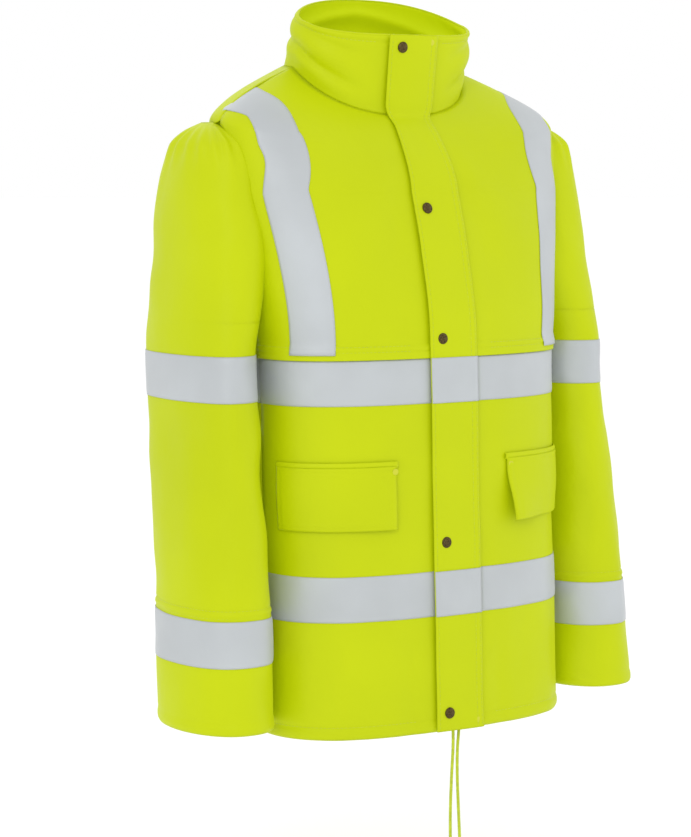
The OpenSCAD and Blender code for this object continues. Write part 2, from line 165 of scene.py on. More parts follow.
def knit_height(tree, coords, per_metre):
    """Rows and columns of a fine knit, showing through the coating."""
    parts = []
    for direction in ("X", "Z"):
        w = add(tree, "ShaderNodeTexWave", Scale=per_metre, Distortion=0.6)
        w.bands_direction = direction
        tree.links.new(coords, w.inputs["Vector"])
        parts.append(w.outputs["Fac"])
    m = add(tree, "ShaderNodeMath", operation="MULTIPLY")
    tree.links.new(parts[0], m.inputs[0])
    tree.links.new(parts[1], m.inputs[1])
    return m.outputs["Value"]


def coords_of(tree):
    return add(tree, "ShaderNodeTexCoord").outputs["Object"]


def coated_cloth(name, dark, light, rough, painted_glow):
    m, tree, shader = new_material(
        name, light, rough, Coat_Weight=0.02, Coat_Roughness=0.35, Sheen_Weight=0.08,
        Sheen_Roughness=0.45, Specular_IOR_Level=0.16, Emission_Strength=painted_glow)
    shader.inputs["Sheen Tint"].default_value = (0.85, 1.0, 0.1, 1)
    # Emission in the light tone is a painted glow: it brightens the cloth as if lit, though the cloth is no
    # lamp.
    shader.inputs["Emission Color"].default_value = (*light, 1)
    c = coords_of(tree)
    vary(tree, shader, c, dark, light, 5.0)
    vary_rough(tree, shader, c, rough - 0.05, rough + 0.08, 40.0)
    bumps(tree, shader, [
        (noise_height(tree, c, 16.0, 3.0), 0.35, 0.004),
        (noise_height(tree, c, 70.0, 2.0), 0.2, 0.0008),
        (knit_height(tree, c, 260.0), 0.16, 0.0002),
        (noise_height(tree, c, 1100.0, 2.0), 0.12, 0.0002)])
    return m


def reflective_cloth():
    m, tree, shader = new_material(
        "reflective_tape", (0.49, 0.53, 0.55), 0.5, Metallic=0.15, Sheen_Weight=0.1)
    c = coords_of(tree)
    vary(tree, shader, c, (0.45, 0.475, 0.49), (0.505, 0.535, 0.555), 9.0)
    vary_rough(tree, shader, c, 0.42, 0.56, 60.0)
    beads = add(tree, "ShaderNodeTexVoronoi", Scale=1600.0)
    tree.links.new(c, beads.inputs["Vector"])
    bumps(tree, shader, [
        (noise_height(tree, c, 22.0, 3.0), 0.3, 0.003),
        (knit_height(tree, c, 300.0), 0.12, 0.0002),
        (beads.outputs["Distance"], 0.15, 0.0002)])
    return m


def thread():
    m, tree, shader = new_material("thread", (0.50, 0.60, 0.01), 0.6, Sheen_Weight=0.3)
    c = coords_of(tree)
    vary(tree, shader, c, (0.42, 0.50, 0.005), (0.55, 0.66, 0.02), 300.0)
    bumps(tree, shader, [(noise_height(tree, c, 2500.0), 0.3, 0.0002)])
    return m


def bronze():
    m, tree, shader = new_material("bronze", (0.06, 0.04, 0.012), 0.38, Metallic=0.85)
    c = coords_of(tree)
    vary(tree, shader, c, (0.018, 0.012, 0.004), (0.16, 0.115, 0.04), 900.0, 6.0)
    vary_rough(tree, shader, c, 0.25, 0.55, 700.0)
    bumps(tree, shader, [(noise_height(tree, c, 1300.0, 4.0), 0.25, 0.0003)])
    return m


def braid():
    m, tree, shader = new_material("braid", (0.60, 0.71, 0.01), 0.6, Sheen_Weight=0.3)
    c = coords_of(tree)
    vary(tree, shader, c, (0.48, 0.58, 0.005), (0.64, 0.76, 0.02), 200.0)
    bumps(tree, shader, [(knit_height(tree, c, 700.0), 0.6, 0.0005)])
    return m


def zip_plastic():
    m, tree, shader = new_material("zip_plastic", (0.48, 0.56, 0.01), 0.4)
    c = coords_of(tree)
    vary(tree, shader, c, (0.40, 0.48, 0.005), (0.52, 0.6, 0.02), 60.0)
    bumps(tree, shader, [(noise_height(tree, c, 500.0), 0.1, 0.0003)])
    return m


# The last number of each coated cloth is the strength of its painted glow, an emission that brightens it as
# if lit.
YELLOW = coated_cloth("coated_yellow", (0.45, 0.53, 0.0), (0.495, 0.58, 0.0), 0.5, 0.10)
INNER = coated_cloth("cloth_inner", (0.54, 0.64, 0.0), (0.57, 0.67, 0.0), 0.65, 0.18)
DISC = coated_cloth("bonded_disc", (0.52, 0.55, 0.03), (0.56, 0.58, 0.05), 0.45, 0.08)
TAPE = reflective_cloth()
THREAD = thread()
BRONZE = bronze()
BRAID = braid()
PLASTIC = zip_plastic()


# ---------------------------------------------------------------- the cords, laid first
CORD_D = 3.5
CORD_ENDS = {
    "right": [(-4, -110.2, 6), (-4, -110.2, -2), (-5, -112, -20), (-7, -112, -50), (-8, -111, -90),
              (-7, -110, -130), (-6, -110, -170), (-6, -110, -192)],
    "left": [(4, -110.2, 6), (4, -110.2, -2), (0, -113, -20), (-1, -114, -50), (1, -114, -90),
             (4, -113, -130), (6, -112, -170), (6, -112, -192)],
}


def link(name, data, body, slot, *materials):
    o = bpy.data.objects.new(name, data)
    bpy.context.collection.objects.link(o)
    for m in materials:
        data.materials.append(m)
    if body:
        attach(o, body)
    return o


def lathe(name, axis_at, direction, profile, steps, body, slot, material):
    """Round piece turned from (radius, height) pairs in mm, along a direction."""
    turn = Vector((0, 0, 1)).rotation_difference(Vector(direction)).to_matrix()
    verts, faces = [], []
    for r, h in profile:
        for k in range(steps):
            a = 2 * math.pi * k / steps
            verts.append(axis_at + turn @ Vector((r * math.cos(a), r * math.sin(a), h)) * MM)
    for j in range(len(profile) - 1):
        for k in range(steps):
            a, b = j * steps + k, j * steps + (k + 1) % steps
            faces.append((a, b, b + steps, a + steps))
    faces.append(tuple(range(steps))[::-1])
    faces.append(tuple(range((len(profile) - 1) * steps, len(profile) * steps)))
    mesh = bpy.data.meshes.new(name)
    mesh.from_pydata(verts, [], faces)
    mesh.polygons.foreach_set("use_smooth", [True] * len(mesh.polygons))
    return link(name, mesh, body, slot, material)


def hanging_cord(side):
    pts = [place(*p) for p in CORD_ENDS[side]]
    data = bpy.data.curves.new(f"hem_cord_{side}", "CURVE")
    data.dimensions = "3D"
    data.bevel_depth = CORD_D / 2 * MM
    data.bevel_resolution = 5
    data.resolution_u = 8
    spline = data.splines.new("NURBS")
    spline.points.add(len(pts) - 1)
    for q, p in zip(spline.points, pts):
        q.co = (*p, 1)
    spline.order_u = 3
    spline.use_endpoint_u = True
    o = link(f"hem_cord_{side}", data, "shell", "yellow_cord", BRAID)
    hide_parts(f"cord_end_{side}")
    knot_profile = [(0.4, 1.2), (1.8, 1.0), (2.9, -0.2), (4.0, -1.6), (4.3, -3.2), (3.9, -4.4), (4.3, -5.6),
                    (4.0, -7.2), (2.8, -8.6), (2.0, -9.4), (1.9, -10.4), (0.3, -10.5)]
    knot = lathe(f"hem_knot_{side}", pts[-1], (0, 0, 1), knot_profile, 24, "shell", "yellow_cord", BRAID)
    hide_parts(f"cord_knot_{side}")


hanging_cord("right")
hanging_cord("left")


# ---------------------------------------------------------------- outline of the jacket
def smooth_table(table):
    """Smooth monotone curve through (height, value) pairs."""
    xs = [p[0] for p in table]
    ys = [p[1] for p in table]
    slopes = [(ys[i + 1] - ys[i]) / (xs[i + 1] - xs[i]) for i in range(len(xs) - 1)]
    tang = [slopes[0]]
    for i in range(1, len(slopes)):
        a, b = slopes[i - 1], slopes[i]
        tang.append(0 if a * b <= 0 else 2 * a * b / (a + b))
    tang.append(slopes[-1])

    def value(z):
        if z <= xs[0]:
            return ys[0] + tang[0] * (z - xs[0])
        if z >= xs[-1]:
            return ys[-1]
        i = max(k for k in range(len(xs) - 1) if xs[k] <= z)
        h = xs[i + 1] - xs[i]
        s = (z - xs[i]) / h
        return ((2 * s ** 3 - 3 * s ** 2 + 1) * ys[i] + (s ** 3 - 2 * s ** 2 + s) * h * tang[i]
                + (3 * s ** 2 - 2 * s ** 3) * ys[i + 1] + (s ** 3 - s ** 2) * h * tang[i + 1])
    return value


def mix(a, b, s):
    return a + (b - a) * s


def clamp01(v):
    return max(0.0, min(1.0, v))


def ease(v):
    v = clamp01(v)
    return v * v * (3 - 2 * v)


def power(v, p):
    return math.copysign(abs(v) ** p, v)


HALF_HEM = high("back_lower").x / MM
ROUND_N = 2.8
COLLAR_N = 2.3
COLLAR_HALF = 109
COLLAR_FOOT_Y = (-8, 128)      # front and back of the collar at the neck seam
COLLAR_RIM_Y = (-19, 95)       # the same at its rim
RIM_SPREAD = 1                 # the rim is this much wider on each side
NECK_BEND = 12                 # the storm flap bends from body to collar within this of the neck seam
BLEND_Z = 600
SHOULDER_HALF = 218
NECK_FRONT = 684
NECK_SIDE = 738
ARM_Z = 430
front_y = smooth_table([(0, -114), (225, -105), (450, -96), (535, -79), (BLEND_Z, -60)])
back_y = smooth_table([(0, 102), (250, 100), (400, 108), (BLEND_Z, 126)])
half_w = smooth_table([(0, HALF_HEM), (250, 186), (400, 186), (500, 196), (BLEND_Z, SHOULDER_HALF)])
# the sleeve's middle (x, y), half width and half depth against height
sleeve_cx = smooth_table([
    (CUFF_Z, 248), (150, 244), (400, 237), (430, 236), (536, 217), (602, 216), (650, 219), (666, 221),
    (676, 222)])
sleeve_hw = smooth_table([
    (CUFF_Z, 55), (150, 51.5), (400, 43), (430, 43.5), (536, 52), (602, 47), (650, 35), (666, 20),
    (676, 3)])
sleeve_cy = smooth_table([
    (CUFF_Z, -4), (150, 10), (400, 46), (536, 58), (602, 60), (650, 58), (676, 56)])
sleeve_hd = smooth_table([
    (CUFF_Z, 80), (150, 84), (400, 90), (536, 86), (602, 76), (650, 58), (666, 36), (676, 8)])
# how far the armhole cuts into the front and the back, in degrees from the side seam
ARMHOLE_FOOT = 445
FRONT_CUT_TOP = 672
BACK_CUT_TOP = 676
front_cut = smooth_table([
    (ARMHOLE_FOOT, 0), (470, 3), (500, 10), (536, 16.8), (600, 21.5), (640, 13.5), (660, 5),
    (FRONT_CUT_TOP, 0)])
back_cut = smooth_table([
    (ARMHOLE_FOOT, 0), (455, 12), (480, 23), (536, 38), (600, 40), (640, 33), (660, 24), (670, 14),
    (BACK_CUT_TOP, 0)])


def oval(t, a, yf, yb, n):
    return (a * power(math.sin(t), 2 / n), (yf + yb) / 2 - (yb - yf) / 2 * power(math.cos(t), 2 / n))


def collar_foot(t, d):
    return oval(t, COLLAR_HALF + d, COLLAR_FOOT_Y[0] - d, COLLAR_FOOT_Y[1] + d, COLLAR_N)


def neck_z(t):
    c = math.cos(t)
    return mix(NECK_SIDE, NECK_FRONT, c) if c > 0 else NECK_SIDE - 7 * c


def rim_z(t):
    return mix(RIM_FRONT, RIM_BACK, ((1 - math.cos(t)) / 2) ** 1.5)


def side_share(w):
    return clamp01((w - 0.55) / 0.45) ** 1.6


def neck_share(t, w):
    c = math.cos(t)
    return side_share(w) * math.sin(t) ** 2 + (w ** 1.5 if c > 0 else w * w) * c * c


def wave(x, at, width):
    """A soft ridge of height 1 at x = at."""
    s = (x - at) / width
    return math.exp(-s * s)


def soft(x, y, z, scale):
    """Smooth noise of -1..1 at a scale in mm."""
    return noise.noise(Vector((x / scale, y / scale, z / scale)))


def body_folds(t, z, x, y):
    """How far the cloth stands out or sinks, in mm."""
    front = ease((abs(x) - 35) / 30)                 # flat under the storm flap
    f = 2.6 * soft(x, y, z, 120) + 1.4 * soft(x + 300, y, z * 0.5, 55)
    # upright folds low down, then slanting ones on the chest
    f += 2.2 * soft(x * 1.4, y * 1.4, z * 0.22 + 90, 48) * ease((330 - z) / 300)
    f += 3.0 * soft(x * 0.5 + z * 0.5, y, z * 0.3 - 40, 50) * ease((z - 430) / 120)
    return f * front


def body(t, z, d=0.0, folds=True):
    if z <= BLEND_Z:
        x, y = oval(t, half_w(z) + d, front_y(z) - d, back_y(z) + d, ROUND_N)
    else:
        w = clamp01((z - BLEND_Z) / (neck_z(t) - BLEND_Z))
        a = oval(t, half_w(BLEND_Z) + d, front_y(BLEND_Z) - d, back_y(BLEND_Z) + d, ROUND_N)
        b = collar_foot(t, d)
        g = neck_share(t, w)
        x, y = mix(a[0], b[0], g), mix(a[1], b[1], g)
    if folds:
        calm = 1 - ease((z - neck_z(t) + 30) / 30)
        f = body_folds(t, z, x, y) * calm
        cy = 10 + 40 * ease((z - 300) / 400)
        r = math.hypot(x / 1.6, y - cy)
        if r > 1:
            x += f * (x / 1.6) / r
            y += f * (y - cy) / r
    return Vector((x, y, z))


def collar(t, s, d=0.0, folds=True):
    a = collar_foot(t, d)
    b = oval(t, COLLAR_HALF + RIM_SPREAD + d, COLLAR_RIM_Y[0] - d, COLLAR_RIM_Y[1] + d, COLLAR_N)
    f = 0.0
    deg = math.degrees(t)
    if deg > 180:
        deg -= 360
    if folds:
        away = ease((abs(deg) - 22) / 25)
        line = s - 0.25 - 0.0035 * (abs(deg) - 45)           # creases that climb towards the back
        f = away * (3.5 * wave(line, 0.30, 0.16) - 2.6 * wave(line, 0.06, 0.07)
                    - 2.2 * wave(line, 0.50, 0.07) + 2.4 * wave(line, -0.12, 0.13))
        f += 1.2 * soft(deg * 1.2, s * 60, 7, 30) * away
        f *= math.sin(math.pi * clamp01(s * 0.94 + 0.03)) ** 0.6
    x, y = mix(a[0], b[0], s), mix(a[1], b[1], s)
    r = math.hypot(x, y - 50)
    x += f * x / r
    y += f * (y - 50) / r
    return Vector((x, y, mix(neck_z(t), rim_z(t), s)))


def angle_at(x, a, n):
    return math.copysign(math.asin(min(1.0, abs(x) / a) ** (n / 2)), x)


def reach(z):
    if z <= BLEND_Z:
        return half_w(z)
    return mix(half_w(BLEND_Z), COLLAR_HALF, side_share((z - BLEND_Z) / (NECK_SIDE - BLEND_Z)))


def front_reach(z):
    w = 0 if z <= BLEND_Z else clamp01((z - BLEND_Z) / (NECK_FRONT - BLEND_Z)) ** 1.5
    return mix(half_w(min(z, BLEND_Z)), COLLAR_HALF, w)


def strip(x, z, d):
    """The middle strip of the front, from hem to rim."""
    lift = ease((z - NECK_FRONT + NECK_BEND) / (2 * NECK_BEND))
    below = body(angle_at(x, front_reach(min(z, NECK_FRONT)), ROUND_N), min(z, NECK_FRONT), d, False)
    s = (z - NECK_FRONT) / (RIM_FRONT - NECK_FRONT)
    above = collar(angle_at(x, COLLAR_HALF, COLLAR_N), max(0.0, s), d, False)
    p = below.lerp(above, lift)
    return Vector((p.x, p.y, z))


def sleeve_folds(p, z, side):
    f = 3.4 * soft(math.cos(p) * 60 + side * 500, math.sin(p) * 60, z * 0.4, 52)
    f += 2.0 * soft(math.cos(p) * 90 + side * 300, math.sin(p) * 90, z * 1.1, 48)
    elbow = wave(z, 330, 120)
    f += 2.4 * elbow * math.sin(z / 17 + 1.8 * math.sin(p + side)) * clamp01(-math.cos(p)) ** 0.5
    puckers = wave(z, 655, 22)
    f += 1.6 * puckers * math.sin(p * 17 + 0.8 * side)
    return f * ease((z - CUFF_Z + 6) / 14) * ease((682 - z) / 24)


def sleeve(p, z, d=0.0, folds=True, side=1):
    f = sleeve_folds(p, z, side) if folds else 0.0
    r = d + f
    return Vector((sleeve_cx(z) + (sleeve_hw(z) + r) * power(math.cos(p), 0.9),
                   sleeve_cy(z) + (sleeve_hd(z) + r) * power(math.sin(p), 0.9), z))


def inside(q, margin):
    yf, yb = front_y(min(q.z, BLEND_Z)), back_y(min(q.z, BLEND_Z))
    yn = abs(q.y - (yf + yb) / 2) / ((yb - yf) / 2)
    return yn < 1 and q.x < margin + reach(q.z) * (1 - yn ** ROUND_N) ** (1 / ROUND_N)


SLEEVE_SEAM = math.radians(179.7)      # where the tube closes below the armpit


def meet(way, z, margin):
    """The angle at which the sleeve runs into the body, going forwards or backwards round it."""
    p = 60
    while p < 179:
        if inside(sleeve(way * math.radians(p), z, 0, False), margin):
            return math.radians(p)
        p += 0.5
    return SLEEVE_SEAM


# ---------------------------------------------------------------- sheets of cloth
def grid_mesh(name, points, nu, nv, mirror):
    if mirror:
        points = [Vector((-p.x, p.y, p.z)) for p in points]
    verts = [place(p.x, p.y, p.z) for p in points]
    faces = []
    for j in range(nv):
        for i in range(nu):
            a = j * (nu + 1) + i
            quad = (a, a + 1, a + nu + 2, a + nu + 1)
            faces.append(quad[::-1] if mirror else quad)
    mesh = bpy.data.meshes.new(name)
    mesh.from_pydata(verts, [], faces)
    mesh.polygons.foreach_set("use_smooth", [True] * len(mesh.polygons))
    return mesh


def flat_size(points, nu, nv):
    """Mean width and length of the cloth when laid flat, in metres, and its flat area."""
    def p(i, j):
        return points[j * (nu + 1) + i]
    width = sum((p(i + 1, j) - p(i, j)).length for j in range(nv + 1) for i in range(nu)) / (nv + 1)
    length = sum((p(i, j + 1) - p(i, j)).length for i in range(nu + 1) for j in range(nv)) / (nu + 1)
    area = 0.0
    for j in range(nv):
        for i in range(nu):
            area += (p(i + 1, j + 1) - p(i, j)).cross(p(i, j + 1) - p(i + 1, j)).length / 2
    return width * MM, length * MM, area * MM * MM


NARROW = 0.011         # a binding narrower than this is a strip and not a sheet, in metres


def cloth(name, f, nu, nv, body_name, nodes, material=YELLOW, slot="coated_yellow_cloth", thick=CLOTH,
          mirror=False, blend=None):
    """A sewn sheet: f(u, v) gives its outer face, u to the wearer's left, v upwards."""
    points = [f(i / nu, j / nv) for j in range(nv + 1) for i in range(nu + 1)]
    mesh = grid_mesh(name, points, nu, nv, mirror)
    o = link(name, mesh, None if blend else body_name, slot, material)
    m = o.modifiers.new("thickness", "SOLIDIFY")
    m.thickness = thick * MM
    m.offset = -1.0
    m.use_even_offset = False
    if nodes:
        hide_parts(*nodes)
    width, length, area = flat_size(points, nu, nv)
    if min(width, length) > NARROW:
        min(area, width * length)
    if blend:
        bpy.context.view_layer.objects.active = o
        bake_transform(o)
    return o


ROOT = "shell"
SIDES = (("right", True), ("left", False))       # the wearer's side, and whether it is the mirrored one
ZIP_HALF = 1.5                                   # half the gap between the two fronts
TAPE_THICK = 0.6


def tape(name, f, nu, nv, node, mirror=False, rides=ROOT):
    return cloth(name, f, nu, nv, rides, [node], TAPE, "reflective_tape", TAPE_THICK, mirror)


def inner(name, f, nu, nv, node, thick=1.0, mirror=False):
    return cloth(name, f, nu, nv, ROOT, [node], INNER, "cloth_inner_side", thick, mirror)


def round_back(u):
    """Angle from one side seam round the back to the other."""
    return mix(math.pi / 2, 3 * math.pi / 2, u)


def around(gap, u):
    """Angle all the way round, but for a gap on each side of the middle of the front."""
    return mix(gap, 2 * math.pi - gap, u)


def front_end(z):
    """The angle of the side seam, or of the front's edge at the armhole."""
    return math.radians(90 - (front_cut(z) if ARMHOLE_FOOT < z < FRONT_CUT_TOP else 0))


def back_start(z):
    return math.radians(90 + (back_cut(z) if ARMHOLE_FOOT < z < BACK_CUT_TOP else 0))


def zip_edge(z):
    return angle_at(ZIP_HALF, front_reach(z), ROUND_N)


YOKE_DROP = 5          # how far the yoke's edge hangs below the lap seam
HEM_STITCH = 14


def yoke_lift(z):
    """The yoke's folded lower edge stands out over the lower panels."""
    step = 2.6 * (1 - ease((z - SEAM_Z - 2) / 12))
    return step + 0.7 * wave(z, SEAM_Z + 8, 2.0) - 0.9 * wave(z, SEAM_Z + 3.5, 1.1)


def yoke_z(t, v):
    """Height on a yoke, with its rows a little closer together near the lap seam."""
    return mix(SEAM_Z - YOKE_DROP, neck_z(t), v ** 1.08)


def front_upper(u, v):
    z = yoke_z(mix(0, math.pi / 2, u), v)
    return body(mix(zip_edge(min(z, NECK_FRONT)), front_end(z), u), z, yoke_lift(z))


def back_upper(u, v):
    z = yoke_z(round_back(u), v)
    t = back_start(z)
    return body(mix(t, 2 * math.pi - t, u), z, yoke_lift(z))


def hem_roll(z):
    """Topstitched hem: a shallow groove and a rounded edge."""
    return -0.7 * wave(z, HEM_STITCH, 1.5) + 0.9 * wave(z, HEM_STITCH - 7, 5) - 1.0 * wave(z, 0, 1.6)


def front_lower(u, v):
    z = mix(0, SEAM_Z, v)
    t = mix(zip_edge(z), math.pi / 2, u)
    return body(t, z, hem_roll(z))


def back_lower(u, v):
    z = mix(0, SEAM_Z, v)
    return body(round_back(u), z, hem_roll(z))


def build_body():
    for side, mirror in SIDES:
        cloth(f"front_yoke_{side}", front_upper, 70, 120, ROOT, [f"front_upper_{side}"], mirror=mirror)
        cloth(f"front_panel_{side}", front_lower, 70, 150, ROOT, [f"front_lower_{side}"], mirror=mirror)
    cloth("back_yoke", back_upper, 140, 110, ROOT, ["back_upper"])
    cloth("back_panel", back_lower, 140, 150, ROOT, ["back_lower"])
    inner("hem_channel", lambda u, v: body(around(0.05, u), mix(2, 24, v), -6), 200, 6, "hem_facing")


LINING_X = 15.5        # the collar's lining starts here, beside the zip's tapes


def build_collar():
    gap = angle_at(ZIP_HALF, COLLAR_HALF, COLLAR_N)

    def edge(s):
        return -0.8 * wave(s, 0.90, 0.02) + 0.5 * wave(s, 0.95, 0.03) - 1.6 * wave(s, 1.0, 0.015)

    def lining(u, v):
        return collar(around(lining_gap, u), v * 0.995, -2.4 - 1.8 * math.sin(3.1 * v))

    def rim(u, v):
        return collar(around(gap, u), 0.985 + 0.022 * math.sin(math.pi * v), -0.2 - 4.0 * v)

    lining_gap = angle_at(LINING_X, COLLAR_HALF, COLLAR_N)
    cloth("collar_outside", lambda u, v: collar(around(gap, u), v, edge(v)), 220, 50, ROOT,
          ["collar_outer"])
    inner("collar_inside", lining, 160, 24, "collar_lining")
    cloth("collar_rim", rim, 200, 8, ROOT, [], thick=0.8)


FLAP_D = 5.4           # how far the storm flap's face stands off the front
BODY_TAPES = (("chest", TAPE_CHEST), ("waist", TAPE_WAIST))
FLAP_BLEND = (ROOT, "storm_flap", tuple(place(0, -100, 560)), tuple(place(0, -100, 455)))


def flap_wave(x, z):
    edge_near = wave(x, FLAP_X0 + 4, 1.1) + wave(x, FLAP_X1 - 2.5, 1.0) + wave(x, FLAP_X1 - 8.5, 1.0)
    roll = wave(x, FLAP_X0, 1.3) + wave(x, FLAP_X1, 1.3)
    drape = 0.5 * soft(x, 0, z, 45) + 0.9 * soft(x * 0.7 + z * 0.4, 0, z * 0.5, 40)
    return drape - 0.45 * edge_near - 0.8 * roll


def flap(u, v):
    z = mix(0.5, RIM_FRONT, v)
    x = mix(FLAP_X0, FLAP_X1, u)
    return strip(x, z, FLAP_D + flap_wave(x, z))


def build_flap():
    def band(z0):
        def point(u, v):
            x = mix(FLAP_X0 + 0.6, FLAP_X1 - 0.6, u)
            z = mix(z0, z0 + TAPE_W, v)
            return strip(x, z, FLAP_D + 0.9 + flap_wave(x, z) * 0.8)
        return point

    cloth("storm_flap_cloth", flap, 48, 300, None, ["storm_flap", "storm_flap_top"], thick=1.3,
          blend=FLAP_BLEND)
    for name, z in BODY_TAPES:
        tape(f"flap_tape_{name}", band(z), 24, 20, f"tape_{name}_flap", rides="storm_flap")


POCKET_X = 74                                    # the pocket's end nearest the zip
POCKET_T = math.radians(80)                      # and the angle of the other end
CORNER_LIFT = {"right": 2.5, "left": 11}         # how far the flap's front lower corner has curled up


def build_pockets():
    t0 = angle_at(POCKET_X, half_w(POCKET_TOP), ROUND_N)
    t1 = POCKET_T

    def flap_point(u, v, corner_lift):
        z = mix(POCKET_TOP - POCKET_H, POCKET_TOP, v)
        corner = ease((0.36 - u) / 0.36) * ease((0.85 - v) / 0.85) * corner_lift
        rim = wave(v, 0, 0.02) + wave(u, 0, 0.012) + wave(u, 1, 0.012)
        stitch = (wave(v, 0.925, 0.012) + wave(v, 0.07, 0.012) + wave(u, 0.045, 0.008)
                  + wave(u, 0.955, 0.008))
        return body(mix(t0, t1, u), z, 3.7 + corner + 1.2 * wave(v, 0.5, 0.3) - 1.1 * rim - 0.5 * stitch)

    def welt(u, v):
        z = mix(POCKET_TOP - 1.5, POCKET_TOP + 5.5, v)
        return body(mix(t0 - 0.012, t1, u), z, 2.2 + 1.0 * math.sin(math.pi * v))

    def bag(u, v):
        z = mix(POCKET_TOP - 133, POCKET_TOP - 7, v)
        return body(mix(t0, t1, u), z, -4.0)

    for side, mirror in SIDES:
        s = -1 if mirror else 1
        blend = (ROOT, f"pocket_flap_{side}", tuple(place(s * 135, -78, POCKET_TOP - 1)),
                 tuple(place(s * 135, -78, POCKET_TOP - 14)))
        cloth(f"pocket_cover_{side}", lambda u, v, side=side: flap_point(u, v, CORNER_LIFT[side]), 70, 44,
              None, [f"pocket_flap_{side}"], mirror=mirror, thick=1.3, blend=blend)
        cloth(f"pocket_welt_{side}", welt, 60, 8, ROOT, [], mirror=mirror, thick=1.2)
        inner(f"pocket_pouch_{side}", bag, 30, 24, f"pocket_bag_{side}", mirror=mirror)


TAPE_D = 1.0           # how far a tape's face stands off the cloth
TAPE_START = {"right": 22, "left": FLAP_X1 + 1}  # the body tapes' ends at the storm flap
# angle and height of the shoulder tape's middle line, up to the ridge of the shoulder
FRONT_PATH = [(55, 395), (51, 500), (48, 615), (56, 662), (73, 692), (90, 703)]
# the same with the angle counted from the middle of the back
BACK_PATH = [(37, 395), (34, 500), (34, 600), (42, 650), (60, 690), (90, 703)]


def tape_edge(v):
    rims = wave(v, 0, 0.03) + wave(v, 1, 0.03)
    return -0.35 * rims - 0.25 * (wave(v, 0.06, 0.02) + wave(v, 0.94, 0.02))


def build_tapes():
    for name, z in BODY_TAPES:
        def front(x0, z=z):
            return lambda u, v: body(mix(angle_at(x0, half_w(z), ROUND_N), math.pi / 2, u),
                                     mix(z, z + TAPE_W, v), TAPE_D + tape_edge(v))

        def back(u, v, z=z):
            return body(round_back(u), mix(z, z + TAPE_W, v), TAPE_D + tape_edge(v))

        for side, mirror in SIDES:
            tape(f"{name}_tape_{side}", front(TAPE_START[side]), 60, 20, f"tape_{name}_{side}", mirror)
        tape(f"{name}_tape_back", back, 120, 20, f"tape_{name}_back")

    def curves(path):
        share = [i / (len(path) - 1) for i in range(len(path))]
        return [smooth_table([(a, p[k]) for a, p in zip(share, path)]) for k in (0, 1)]

    front_line, back_line = curves(FRONT_PATH), curves(BACK_PATH)

    def middle(v):
        a = 1 - abs(2 * v - 1)
        line_t, line_z = front_line if v < 0.5 else back_line
        t = math.radians(line_t(a))
        return t if v < 0.5 else math.pi - t, line_z(a)

    def across(u, v):
        """A point of the tape, marched square to the middle line over the surface."""
        ahead = (body(*middle(min(1, v + 0.02)), 0, False) - body(*middle(max(0, v - 0.02)), 0, False))
        t, z = middle(v)
        for _ in range(6):
            pt = (body(t + 0.01, z, 0, False) - body(t - 0.01, z, 0, False)) / 0.02
            pz = body(t, z + 0.5, 0, False) - body(t, z - 0.5, 0, False)
            w = pt.cross(pz).cross(ahead).normalized() * (0.5 - u) * TAPE_W / 6
            a, b, c, e, f = pt.dot(pt), pt.dot(pz), pz.dot(pz), w.dot(pt), w.dot(pz)
            det = a * c - b * b
            t, z = t + (e * c - f * b) / det, z + (a * f - b * e) / det
        return t, z

    ends = {}

    def end(u, back):
        """Where this line of the tape leaves the yoke's lower seam."""
        if (u, back) not in ends:
            a, b = (1.0, 0.7) if back else (0.0, 0.3)
            for _ in range(14):
                m = (a + b) / 2
                if across(u, m)[1] < SEAM_Z + 1:
                    a = m
                else:
                    b = m
            ends[u, back] = (a + b) / 2
        return ends[u, back]

    def over(u, v):
        t, z = across(u, mix(end(u, False), end(u, True), v))
        return body(t, z, TAPE_D + 0.4 + tape_edge(u) + yoke_lift(z))

    for side, mirror in SIDES:
        tape(f"shoulder_tape_{side}", over, 20, 220, f"tape_shoulder_{side}", mirror)


SLEEVE_TOP = 675.5
CUFF_SEAM = 151
TUCK = 2.5             # how far the sleeve's edge goes under the body's surface


def cuff_detail(z):
    d = -0.9 * wave(z, CUFF_SEAM, 1.3) - 0.6 * wave(z, CUFF_SEAM - 8, 1.3) + 1.0 * wave(z, CUFF_SEAM - 4, 3)
    d += -0.7 * wave(z, CUFF_Z + 14, 1.4) + 0.6 * wave(z, CUFF_Z + 7, 5) - 1.0 * wave(z, CUFF_Z, 1.5)
    return d


def build_sleeves():
    spans = {}

    def span(z):
        key = round(z, 2)
        if key not in spans:
            if z < ARM_Z:
                spans[key] = (SLEEVE_SEAM, SLEEVE_SEAM)
            else:
                spans[key] = (meet(-1, z, -TUCK), meet(1, z, -TUCK))
        return spans[key]

    for side, mirror in SIDES:
        s = -1 if mirror else 1

        def shell(u, v, s=s):
            z = mix(CUFF_Z, SLEEVE_TOP, v)
            a, b = span(z)
            return sleeve(mix(-a, b, u), z, cuff_detail(z), True, s)

        def band(z0, s=s):
            def f(u, v):
                p = math.radians(mix(-179, 179, u))
                return sleeve(p, mix(z0, z0 + TAPE_W, v), TAPE_D + 0.2 + tape_edge(v), True, s)
            return f

        cloth(f"sleeve_cloth_{side}", shell, 110, 260, ROOT, [f"sleeve_{side}"], mirror=mirror)
        tape(f"arm_tape_{side}", band(TAPE_ARM), 110, 20, f"tape_arm_{side}", mirror)
        tape(f"cuff_tape_{side}", band(TAPE_CUFF), 110, 20, f"tape_cuff_{side}", mirror)


